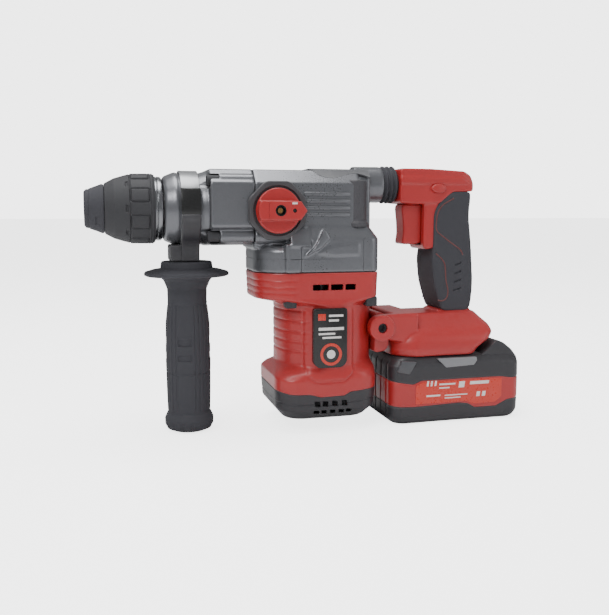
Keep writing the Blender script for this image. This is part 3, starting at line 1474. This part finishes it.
@dataclass(frozen=True)
class Handle:
    """The rear handle: two red shells, the rubber grip, trigger, direction button and pivot pin."""

    shell: Span
    rubber: Span
    trigger: Span
    button: Span
    pin: Span
    deck: float

    @classmethod
    def from_cad(cls) -> "Handle":
        """Reads the handle's place."""
        names = ("handle_shell_left", "grip_rubber", "trigger", "direction_button", "pivot_pin")
        return cls(*[Span.of(name) for name in names], Span.of("handle_shell_left").low[2])

    def build(self) -> None:
        """Makes every piece of the handle."""
        self.make_shells()
        self.make_rubber()
        self.make_trigger()
        self.make_button()
        self.make_pin()

    def grip_line(self, inset: float = 0.0) -> list[tuple[float, float]]:
        """The grip's side view, from the foot to the top arm, as a smooth line."""
        low, high = self.rubber.low, self.rubber.high
        front, rear, foot, top = low[0] + 1.5 + inset, high[0] - 1.5 - inset, low[2], high[2] + 5.5
        line = [
            (front + 9, foot), (rear - 1, foot), (rear + 1, foot + 12), (rear + 1.4, foot + 26),
            (rear - 0.8, foot + 55),
        ]
        line += [
            (rear - 3.5, foot + 78), (rear - 2, top - 2), (rear - 4, top), (front + 19, top),
            (front + 14, top - 1),
        ]
        line += [
            (front + 4, top - 9.5), (front, top - 18), (front, foot + 51), (front - 1.5, foot + 43),
            (front + 0.5, foot + 24), (front + 6, foot + 6),
        ]
        return soften(line, 5.0, steps=5)

    def make_shells(self) -> None:
        """Arm, trigger guard, core, foot and pivot ears melted together and split along the middle."""
        px, pz = self.pin.middle[0], self.pin.middle[2]
        arm_top, front, rear = self.shell.high[2], self.rubber.low[0] + 1.3, self.rubber.high[0] - 1.5
        start = Span.of("damper_bellows").high[0] + 0.4
        bottom = arm_top - 27.5
        arm_line = [(start, bottom), (start + 14, bottom - 1), (front + 6, bottom), (front + 17, bottom + 9)]
        arm_line += [(rear, bottom + 9.5), (rear, arm_top - 11)]
        arm_line += [
            (rear - 2.5, arm_top - 5), (rear - 8, arm_top - 1.6), (start + 26, arm_top),
            (start, arm_top),
        ]
        arm = prism("arm", soften(arm_line, 1.8), (-16.3, 16.3), "Y", 3.4)
        ledge = prism(
            "ledge",
            soften(
                [
                    (start, arm_top - 12), (rear - 3, arm_top - 12), (rear - 9, arm_top - 7),
                    (start, arm_top - 6.5),
                ],
                1.5,
            ),
            (-17.2, 17.2), "Y", 1.0,
        )
        core = prism("core", self.grip_line(3.2), (-12.5, 12.5), "Y", 4)
        guard_x = front - 8.3
        guard_line = [
            (guard_x, bottom + 5), (guard_x, bottom - 35), (guard_x + 2, bottom - 37.5),
            (guard_x + 9, bottom - 36.5), (guard_x + 13, bottom - 30), (guard_x + 14, bottom + 5),
        ]
        guard = prism("guard", soften(guard_line, 1.5), (-15, 15), "Y", 2.2)
        parts = [arm, ledge, core, guard, *self.foot_parts(rear)]
        web = [(px + 1, pz - 9.6), (px + 32, pz - 15), (px + 32, pz + 10.5), (px + 2, pz + 10.2)]
        for side in (-1, 1):
            parts.append(rod("ear", 10.4, sorted((side * 25.3, side * 34.4)), "Y", (px, pz)))
            parts.append(prism("web", web, sorted((side * 22, side * 31)), "Y", 1.6))
        parts.append(block("bridge", (px + 12.5, -31, pz - 8), (px + 32, 31, pz + 10.5), 1.6))
        whole = fuse("whole", parts, 0.85, 3)
        cutters = [
            rod("hole", 3.9, (-50, -29), "Y", (px, pz)),
            rod("hole", 3.9, (29, 50), "Y", (px, pz)),
            block("rail", (px + 18.5, -23.4, self.deck - 6), (60, 23.4, self.deck + 7.7)),
            block("pocket", (guard_x - 3, -9.6, bottom - 34), (guard_x + 11, 9.6, bottom + 1.4)),
            rod("seat", 8.4, (start - 2, start + 5), "X", (0, Span.of("damper_bellows").middle[2])),
            block("gap", (px - 40, -25.2, self.deck - 3), (px + 12, 25.2, self.deck + 42)),
        ]
        for cutter in cutters:
            carve(whole, [cutter])
        for side, name in ((-1, "left"), (1, "right")):
            half = whole.copy()
            half.data = whole.data.copy()
            bpy.context.scene.collection.objects.link(half)
            self.keep_side(half, side)
            show(half, f"handle_half_{name}", RED, "handle", f"handle_shell_{name}")
        bpy.data.objects.remove(whole)

    def foot_parts(self, rear: float) -> list[bpy.types.Object]:
        """The shoe over the battery, a rounded ridge that slopes down at the back."""
        low, end = self.deck, self.shell.high[0]
        sizes = (
            (0.0, -53, end - 18, 35.0, 20),
            (5.5, -55, end - 14, 35.8, 22),
            (12, -54, end - 4, 35.2, 22),
            (17.5, -52, end, 33.0, 22),
            (23, -49, end - 1.5, 28.5, 20),
            (28, -47, end - 6, 22.5, 14),
            (33, -46, end - 10, 17.5, 8),
        )
        rings = []
        for z, front, back, half, corner in sizes:
            rings.append(
                Ring(low + z, (back - front) / 2, half, min(corner, half - 1), 9, (front + back) / 2)
            )
        foot = skin("foot", rings, calm=3, rims=(1.0, 0.5))
        neck = prism(
            "neck",
            [
                (self.rubber.low[0] - 4, low + 24), (rear + 2, low + 24), (rear + 1, low + 36),
                (rear - 9, low + 38), (self.rubber.low[0] + 8, low + 35),
            ],
            (-15.5, 15.5), "Y", 3,
        )
        return [foot, neck]

    @staticmethod
    def keep_side(obj: bpy.types.Object, side: int) -> None:
        """Cuts an object in two at the middle plane and keeps one side, leaving a fine seam."""
        build = bmesh.new()
        build.from_mesh(obj.data)
        everything = build.verts[:] + build.edges[:] + build.faces[:]
        found = bmesh.ops.bisect_plane(
            build, geom=everything, plane_co=(0, side * 0.12 * MM, 0), plane_no=(0, -side, 0),
            clear_outer=True,
        )
        rim = [item for item in found["geom_cut"] if isinstance(item, bmesh.types.BMEdge)]
        bmesh.ops.triangle_fill(build, use_beauty=True, use_dissolve=False, edges=rim)
        bmesh.ops.recalc_face_normals(build, faces=build.faces)
        build.to_mesh(obj.data)
        build.free()

    def make_rubber(self) -> None:
        """The moulded grip, with red piping and slots in its sides."""
        body = prism("grip", self.grip_line(), (-16.4, 16.4), "Y", 6.5)
        made = fuse("grip", [body], 0.75, 6)
        x, z = self.rubber.low[0] + 2.5, self.rubber.low[2]
        slots = []
        for side in (-1, 1):
            for i in range(4):
                line = [
                    (x + 17 + 0.5 * i, z + 16 + 7 * i), (x + 24, z + 18 + 7 * i),
                    (x + 24, z + 19.4 + 7 * i), (x + 17 + 0.5 * i, z + 17.6 + 7 * i),
                ]
                slots.append(prism("slot", line, sorted((side * 15.6, side * 18)), "Y", 0.2))
        carve(made, slots)
        show(made, "grip_overmould", RUBBER, "handle", "grip_rubber", crease=60)
        upper = [(21, 92), (11, 87), (6.5, 80), (5.5, 66), (18, 57), (28.5, 50), (30, 46)]
        lower = [(6, 47.5), (11, 43.5), (14.5, 39), (15.5, 25), (18, 16), (16.5, 10), (12, 8), (9, 9)]
        pipes = []
        for side in (-1, 1):
            for line in (upper, lower):
                pipes.append(self.pipe([(x + u - 5, z + v) for u, v in line], side, made))
        show(gather("piping", pipes), "grip_piping", PIPING, "handle")

    @staticmethod
    def pipe(line: Points, side: int, onto: bpy.types.Object, radius: float = 0.55) -> bpy.types.Object:
        """A thin cord pressed onto the side of a piece along a line in its side view."""
        path = refine(soften(line, 4, closed=False, steps=6), 1.0, False)
        turn = np.linspace(0, 2 * math.pi, 10, endpoint=False)
        rows, last = [], side * 16.4
        for i, (x, z) in enumerate(path):
            hit, place, _, _ = onto.ray_cast(Vector((x, side * 60, z)) * MM, Vector((0, -side, 0)))
            last = place.y / MM if hit else last
            ahead = path[min(i + 1, len(path) - 1)] - path[max(i - 1, 0)]
            across = np.array((-ahead[1], ahead[0])) / max(np.linalg.norm(ahead), 1e-9)
            offset = radius * np.cos(turn)
            rows.append(
                np.stack(
                    (x + across[0] * offset, last + 0.7 * radius * np.sin(turn), z + across[1] * offset),
                    axis=-1,
                )
            )
        return ring_stack("pipe", np.array(rows))

    def make_trigger(self) -> None:
        """The trigger, hollowed at the front for a finger."""
        low, high = self.trigger.low, self.trigger.high
        face = low[0]
        line = [
            (face + 0.5, low[2]), (face + 1.8, low[2] + 9), (face + 1.4, low[2] + 18),
            (face, high[2] - 4), (face + 0.8, high[2]), (face + 17.5, high[2]),
            (face + 17.5, low[2] + 1), (face + 12, low[2]),
        ]
        made = fuse("trigger", [prism("trigger", soften(line, 2.5), (low[1], high[1]), "Y", 2.6)], 0.6, 4)
        show(made, "trigger_lever", RED, "trigger", "trigger")

    def make_button(self) -> None:
        """The push-through direction button, with a rim each side."""
        low, high, middle = self.button.low, self.button.high, self.button.middle
        turns = np.linspace(0, 2 * math.pi, 48, endpoint=False)
        oval = [
            (middle[0] - 2.5 + 6.4 * math.cos(turn), middle[2] - 5.5 + 3.7 * math.sin(turn))
            for turn in turns
        ]
        made = prism("button", oval, (low[1], high[1]), "Y")
        edges = made.modifiers.new("edges", "BEVEL")
        edges.width, edges.segments, edges.angle_limit = 1.2 * MM, 3, math.radians(50)
        settle(made)
        show(made, "direction_push_button", RED, "direction_button", "direction_button")

    def make_pin(self) -> None:
        """The pivot pin, with a socket in its near end."""
        low, high, middle = self.pin.low[1], self.pin.high[1], self.pin.middle
        profile = [(low + 3, 0), (low + 3, 2.5), (low, 2.7), (low, 3.3), (low + 0.4, 3.5), (high - 0.4, 3.5)]
        profile += [(high, 3.3), (high, 0)]
        made = revolve("pin", profile, "Y", (middle[0], middle[2]), 48)
        show(made, "handle_pivot_pin", BLACK, "handle", "pivot_pin")


# ---------------------------------------------------------------- battery
@dataclass(frozen=True)
class Battery:
    """The sliding battery: dark base, red band, dark top with its rail and hump, and a latch."""

    base: Span
    band: Span
    top: Span
    latch: Span
    corner: float = 9.0

    @classmethod
    def from_cad(cls) -> "Battery":
        """Reads the battery's place."""
        return cls(
            *[Span.of(name) for name in ("battery_base", "battery_band", "battery_top", "battery_latch")]
        )

    def build(self) -> None:
        """Makes the case, its label and the latch."""
        self.make_case()
        self.make_label()
        self.make_latch()

    @staticmethod
    def upper_edge(x: np.ndarray) -> np.ndarray:
        """How far the band's upper edge rises above its level, along the battery."""
        return np.interp(x, [-57, -50, -39, -32, 38, 46, 57], [-0.6, -1.6, -3.6, -0.8, -0.8, -2.2, -2.4])

    @staticmethod
    def lower_edge(x: np.ndarray) -> np.ndarray:
        """How far the band's lower edge rises above its level, along the battery."""
        return np.interp(x, [-57, -39, 2, 9, 15, 34, 45, 57], [2.0, 1.0, 2.2, 1.2, -2.4, -2.4, 2.6, 3.4])

    def ring(self, z: float, inset: float) -> Ring:
        """The battery's outline at a height, drawn in by an inset."""
        half_x = (self.base.high[0] - self.base.low[0]) / 2
        half_y = (self.base.high[1] - self.base.low[1]) / 2
        return Ring(z, half_x - inset, half_y - inset, self.corner, self.corner)

    def relief(self, angle: np.ndarray, z: np.ndarray, x: np.ndarray, y: np.ndarray) -> np.ndarray:
        """Upright grooves on the front and one on each side near the back."""
        end = self.base.low[0]
        front = np.where(x < end + 1.5, sum(ridge(y, place, 1.2) for place in (-24, -12, 0, 12, 24)), 0.0)
        flat = np.abs(y) > self.base.high[1] - 1.5
        side = np.where(flat, ridge(x, 41.5, 1.0), 0.0)
        return -0.8 * front - 0.7 * side

    def make_case(self) -> None:
        """The three parts of the case, and the hump and rail on top."""
        low, join = self.base.low[2], self.base.high[2]
        upper, deck = self.band.high[2], self.top.low[2] + 17.7
        base = skin(
            "base", [self.ring(low, 3.2), self.ring(low + 4.5, 0.3), self.ring(join, 0)],
            self.relief, Wall.CUP, rims=(1.4, 0.35), edges=(None, self.lower_edge),
        )
        show(base, "battery_lower_case", DARK_GREY, "battery", "battery_base")
        band = skin(
            "band", [self.ring(join + 0.3, 0), self.ring(upper, 0)], self.relief, Wall.TUBE,
            step=0.8, rims=(0.35, 0.35), edges=(self.lower_edge, self.upper_edge),
        )
        show(band, "battery_middle_band", RED, "battery", "battery_band")
        rings = [
            self.ring(upper + 0.3, 0), self.ring(deck - 6, 0.2), self.ring(deck - 1.2, 3.6),
            self.ring(deck, 4.6),
        ]
        lid = skin(
            "lid", rings, self.relief, Wall.LID, rims=(0.35, 1.0), edges=(self.upper_edge, None),
            calm=1,
        )
        half = self.base.high[1]
        pale = [
            (-18.5, deck - 1.6), (15.8, deck - 1.6), (16.3, deck - 4.5), (13.5, deck - 8),
            (-11, deck - 9),
        ]
        facet = [(-49, deck - 2), (-36.5, deck - 3.5), (-42.5, deck - 13), (-53, deck - 10.5)]
        for name, line, finish in (
            ("battery_rail_pads", pale, PALE_GREY), ("battery_corner_facets", facet, COVER_GREY),
        ):
            pads = [
                prism("pad", line, sorted((side * (half - 6), side * (half + 0.15))), "Y", 0.4)
                for side in (-1, 1)
            ]
            show(gather("pads", pads), name, finish, "battery")
        end = self.base.high[0]
        hump_line = [(20.5, deck - 2), (end - 2.5, deck - 9), (end - 2.5, deck - 4), (end - 8, deck + 3)]
        hump_line += [(end - 15, deck + 8.5), (end - 20.5, deck + 11)]
        hump = prism("hump", soften(hump_line, 2.0), (-33.5, 33.5), "Y", 1.6)
        latch = Span.of("battery_latch")
        pocket = block(
            "pocket", (latch.low[0] - 0.6, latch.low[1] - 0.5, latch.low[2] - 0.5),
            (end + 5, latch.high[1] + 0.5, deck + 30),
        )
        carve(hump, [pocket])
        rail_end = -46.0
        neck = block("neck", (rail_end, -18.8, deck - 1), (14, 18.8, deck + 4.4), 0.3)
        head = block("head", (rail_end, -22.8, deck + 3.7), (14, 22.8, deck + 7.4), 0.5)
        slots = [
            block("slot", (rail_end - 1, y - 1.3, deck + 2.4), (rail_end + 14, y + 1.3, deck + 9))
            for y in (-9, 0, 9)
        ]
        rail = carve(gather("rail", [head]), slots)
        made = gather("top", [lid, hump, neck, rail])
        show(made, "battery_upper_case", DARK_GREY, "battery", "battery_top")

    def make_label(self) -> None:
        """An orange-red label on each side, with plain printed bars."""
        face, low, high = self.base.high[1], self.band.low[2] + 3.2, self.band.high[2] - 1.8
        outline = soften(
            [
                (-37, low), (8, low), (13, low - 2.6), (33, low - 2.4), (39, low + 2), (39, high),
                (-31, high), (-37, high - 3),
            ],
            1.2,
        )
        plates, marks = [], []
        for side in (-1, 1):
            plates.append(
                prism("label", outline, sorted((side * (face - 1), side * (face + 0.35))), "Y", 0.12)
            )
            out = sorted((side * face, side * (face + 0.47)))
            for x, z, wide, tall in (
                (-28, 15, 1.6, 4.2), (-24.6, 15, 1.6, 4.2), (-21.2, 15, 1.6, 4.2),
                (-17, 15.4, 14, 1.3), (-17, 12.6, 9, 1.0), (0, 12.6, 5, 5), (10, 14.6, 17, 2.6),
                (-28, 6.4, 12, 1.4), (-12, 6.4, 20, 0.9), (-12, 4.2, 14, 0.9), (16, 4.4, 3, 4),
                (21, 4.4, 3, 4),
            ):
                line = [
                    (x, low + z - 1), (x + wide, low + z - 1),
                    (x + wide + 0.15 * tall, low + z + tall - 1),
                    (x + 0.15 * tall, low + z + tall - 1),
                ]
                marks.append(prism("mark", line, out, "Y", 0.08))
        show(gather("label", plates), "battery_label", LABEL_RED, "battery")
        show(gather("marks", marks), "battery_label_print", PRINT_WHITE, "battery")

    def make_latch(self) -> None:
        """The press latch at the back, with grip ribs."""
        low, high = self.latch.low, self.latch.high
        line = [
            (low[0], low[2] + 4), (high[0] - 7.2, low[2]), (high[0], low[2]),
            (high[0], high[2] - 11), (high[0] - 6, high[2] - 3), (high[0] - 11, high[2] - 3),
            (low[0], high[2]),
        ]
        body = prism("latch", soften(line, 0.8), (low[1], high[1]), "Y", 0.7)
        bar = block("bar", (high[0] - 0.6, low[1] + 3, -0.5), (high[0] + 0.6, high[1] - 3, 0.5), 0.3)
        ribs = COPIES.copies("ribs", bar, 4, BLACK, (0, 0, low[2] + 2.2), (0, 0, 2.1))
        show(gather("latch", [body, ribs]), "battery_release_latch", BLACK, "battery_latch", "battery_latch")


# ---------------------------------------------------------------- side handle
@dataclass(frozen=True)
class SideHandle:
    """The side handle: clamp strap, saddle and ribbed grip."""

    axis: tuple[float, float]
    band: Span
    saddle: Span
    grip: Span

    @classmethod
    def from_cad(cls) -> "SideHandle":
        """Reads the side handle's place."""
        middle = Span.of("tool_holder").middle
        return cls(
            (middle[1], middle[2]), Span.of("clamp_band"), Span.of("clamp_saddle"),
            Span.of("side_grip"),
        )

    def build(self) -> None:
        """Makes the strap, the saddle and the grip."""
        self.make_strap()
        self.make_saddle()
        self.make_grip()

    def make_strap(self) -> None:
        """The metal strap round the collar, and the dark block that closes it on each side."""
        front, rear = self.band.low[0], self.band.high[0]
        profile = soften([(front, 27.3), (rear, 27.3), (rear, 28.6), (front, 28.6)], 0.3)
        strap = revolve("strap", profile, "X", self.axis, 192)
        show(strap, "clamp_strap", STRAP, "side_handle", "clamp_band")
        blocks = []
        for side in (-1, 1):
            line = []
            for turn in np.linspace(-0.15, 0.52, 12):
                line.append((side * 28.2 * math.cos(turn), self.axis[1] + 28.2 * math.sin(turn)))
            for turn in np.linspace(0.52, -0.15, 12):
                line.append((side * 30.4 * math.cos(turn), self.axis[1] + 30.4 * math.sin(turn)))
            blocks.append(prism("block", line, (front - 0.3, rear + 0.3), "X", 0.5))
        show(gather("blocks", blocks), "clamp_blocks", BADGE, "side_handle")

    def make_saddle(self) -> None:
        """The cradle that hugs the collar and carries the grip."""
        z, bottom = self.axis[1], self.saddle.low[2]
        front, rear = self.saddle.low[0], self.saddle.high[0]
        line = [(-30.6, z - 4), (-30.6, z - 8)]
        line += [
            (31.0 * math.cos(turn), z + 31.0 * math.sin(turn))
            for turn in np.linspace(math.pi + 0.35, math.pi + 0.9, 8)
        ]
        line += [(-15.5, bottom + 7), (-15.5, bottom)]
        outline = line + [(-y, height) for y, height in line[::-1]]
        cradle = prism("cradle", outline, (front + 7.6, rear + 0.2), "X", 1.2)
        foot = [(-14.5, z - 27), (-14.5, bottom), (14.5, bottom), (14.5, z - 27)]
        nose = prism("nose", foot, (front, rear), "X", 1.4)
        made = carve(gather("cradle", [cradle]), [rod("fit", 28.7, (front - 5, rear + 5), "X", self.axis)])
        nose = carve(nose, [rod("fit", 28.7, (front - 5, rear + 5), "X", self.axis)])
        show(gather("saddle", [made, nose]), "clamp_cradle", DARK_GREY, "side_handle", "clamp_saddle")

    def make_grip(self) -> None:
        """The grip: collar, guard disc, cup, ribbed barrel with finger slots, and end flange."""
        x, low, top = self.grip.middle[0], self.grip.low[2], self.grip.high[2]
        outer = [
            (low, 0), (low, 13.5), (low + 1.5, 17.0), (low + 5, 18.8), (low + 9.5, 18.9),
            (low + 12.5, 17.6),
        ]
        outer += [(low + 15, 16.5), (low + 30, 16.9), (low + 55, 17.3), (low + 84, 16.9), (top - 30, 15.0)]
        outer += [
            (top - 21, 15.2), (top - 15, 17.6), (top - 11.8, 20.2), (top - 11.2, 30.6),
            (top - 10.4, 32.2),
        ]
        outer += [
            (top - 9.0, 32.3), (top - 7.8, 31.4), (top - 6.2, 26), (top - 5.2, 20),
            (top - 0.8, 19.4), (top, 18.8),
        ]
        inner = [(top, 4.6), (top - 43, 4.6), (top - 43, 0)]

        def relief(angle: np.ndarray, along: np.ndarray) -> np.ndarray:
            """Flutes along the barrel, paired finger slots, and rings."""
            held = plateau(along, low + 18, top - 34, 1.5)
            flutes = -0.45 * smooth_step(np.cos(28 * angle), 0.35, 0.95) * (
                1 - smooth_step(np.cos(4 * angle + 0.9), 0.1, 0.4)
            )
            around = ((angle + 0.22 - math.pi / 4) % (math.pi / 2) - math.pi / 4) * 16
            slots = 0.0
            for height, tall in ((low + 70.5, 2.9), (low + 58.5, 2.6)):
                edge = from_box(
                    around + 0 * along, along + 0 * around, (-6.0, height - tall),
                    (4.5, height + tall), 1.0,
                )
                slots = slots - 1.1 * (1 - smooth_step(edge, -0.5, 0.1))
            rings = -0.5 * (
                ridge(along, low + 46, 0.7) + ridge(along, low + 14.6, 0.8) + ridge(along, top - 33, 0.8)
            )
            dimples = -0.5 * plateau(
                np.cos(16 * angle), 0.5, 1.0, 0.3,
            ) * plateau(along, low + 2.8, low + 7, 0.5)
            return held * (flutes + slots) + rings + dimples * (along < low + 9)

        made = revolve("grip", outer + inner, "Z", (x, self.axis[0]), 280, relief, 12.4, 0.85)
        show(made, "side_grip_handle", RUBBER, "side_grip", "side_grip")


# ---------------------------------------------------------------- insides and studio
@dataclass(frozen=True)
class Insides:
    """The CAD nodes that are shown as they are, mostly inside: each takes its slot's finish."""

    nodes: dict[str, bpy.types.Object]
    slot_of: dict[str, str]

    @classmethod
    def from_record(cls) -> "Insides":
        """Reads which material slot each node has."""
        slots = {row["node"]: row["material_slot"] for row in frame["record"]["subparts"]}
        return cls(frame["nodes"], slots)

    def dress(self) -> None:
        """Gives every shown node a finish."""
        for name, obj in self.nodes.items():
            if obj.hide_render:
                continue
            finish = FINISH_OF_SLOT[self.slot_of[name]]
            for place in obj.material_slots:
                place.material = finish.material()
            if not obj.material_slots:
                obj.data.materials.append(finish.material())
        LOG.info("insides: %d nodes dressed", len(self.nodes))


@dataclass(frozen=True)
class Studio:
    """A pale floor, soft lights and the camera."""

    camera_place: tuple[float, float, float] = (-0.2756, -0.5844, 0.1673)
    turn: float = 15.0
    tilt: float = 7.03
    lens: float = 44.2

    def build(self) -> None:
        """Sets up everything that isn't part of the object."""
        self.make_floor()
        self.make_lights()
        self.make_camera()

    def make_floor(self) -> None:
        """A plain floor and a white surround."""
        mesh = bpy.data.meshes.new("floor")
        reach = 30.0
        mesh.from_pydata(
            [
                (-reach, -reach, -0.0006), (reach, -reach, -0.0006), (reach, reach, -0.0006),
                (-reach, reach, -0.0006),
            ],
            [], [(0, 1, 2, 3)],
        )
        floor = bpy.data.objects.new("floor", mesh)
        bpy.context.scene.collection.objects.link(floor)
        matte = bpy.data.materials.new("floor_white")
        matte.use_nodes = True
        shader = matte.node_tree.nodes["Principled BSDF"]
        shader.inputs["Base Color"].default_value = (0.93, 0.93, 0.93, 1.0)
        shader.inputs["Roughness"].default_value = 0.9
        shader.inputs["Emission Color"].default_value = (1.0, 1.0, 1.0, 1.0)
        path = matte.node_tree.nodes.new("ShaderNodeLightPath")
        glow = matte.node_tree.nodes.new("ShaderNodeMath")
        glow.operation = "MULTIPLY"
        glow.inputs[1].default_value = 2.9
        matte.node_tree.links.new(path.outputs["Is Camera Ray"], glow.inputs[0])
        matte.node_tree.links.new(glow.outputs[0], shader.inputs["Emission Strength"])
        mesh.materials.append(matte)
        world = bpy.data.worlds.new("white_room")
        world.use_nodes = True
        tree = world.node_tree
        seen, lighting = tree.nodes["Background"], tree.nodes.new("ShaderNodeBackground")
        seen.inputs["Color"].default_value = (1.0, 1.0, 1.0, 1.0)
        seen.inputs["Strength"].default_value = 4.0
        lighting.inputs["Color"].default_value = (0.96, 0.98, 1.0, 1.0)
        lighting.inputs["Strength"].default_value = 0.42
        path, choice = tree.nodes.new("ShaderNodeLightPath"), tree.nodes.new("ShaderNodeMixShader")
        tree.links.new(path.outputs["Is Camera Ray"], choice.inputs[0])
        tree.links.new(lighting.outputs[0], choice.inputs[1])
        tree.links.new(seen.outputs[0], choice.inputs[2])
        tree.links.new(choice.outputs[0], tree.nodes["World Output"].inputs["Surface"])
        bpy.context.scene.world = world

    def make_lights(self) -> None:
        """Large soft lamps above, left and right."""
        aim = Vector((-0.11, 0.0, 0.11))
        for name, place, power, size in (
            ("overhead", (-0.25, 0.05, 1.25), 15.0, 0.8),
            ("key_left", (-0.85, -0.85, 1.0), 8.0, 0.5),
            ("fill_right", (0.95, -0.95, 0.45), 2.5, 0.7),
        ):
            lamp = bpy.data.lights.new(name, "AREA")
            lamp.energy = power
            lamp.size = size
            obj = bpy.data.objects.new(name, lamp)
            obj.location = place
            obj.rotation_mode = "QUATERNION"
            obj.rotation_quaternion = (aim - obj.location).to_track_quat("-Z", "Y")
            bpy.context.scene.collection.objects.link(obj)

    def make_camera(self) -> None:
        """The camera, low and slightly ahead of square on."""
        lens = bpy.data.cameras.new("camera")
        lens.lens = self.lens
        lens.sensor_width = 36.0
        lens.clip_start, lens.clip_end = 0.01, 100.0
        obj = bpy.data.objects.new("camera", lens)
        obj.location = self.camera_place
        turn, tilt = math.radians(self.turn), math.radians(self.tilt)
        ahead = Vector((math.sin(turn) * math.cos(tilt), math.cos(turn) * math.cos(tilt), -math.sin(tilt)))
        obj.rotation_mode = "QUATERNION"
        obj.rotation_quaternion = ahead.to_track_quat("-Z", "Y")
        bpy.context.scene.collection.objects.link(obj)
        bpy.context.scene.camera = obj


def main() -> None:
    """Builds every piece in order, then the studio."""
    logging.basicConfig(level=logging.INFO, format="%(name)s %(message)s")
    for assembly in (Chuck, Barrel, GearCase, ModeKnob, Motor, Bellows, Handle, Battery, SideHandle):
        assembly.from_cad().build()
    Insides.from_record().dress()
    Studio().build()


if __name__ == "__main__":
    main()
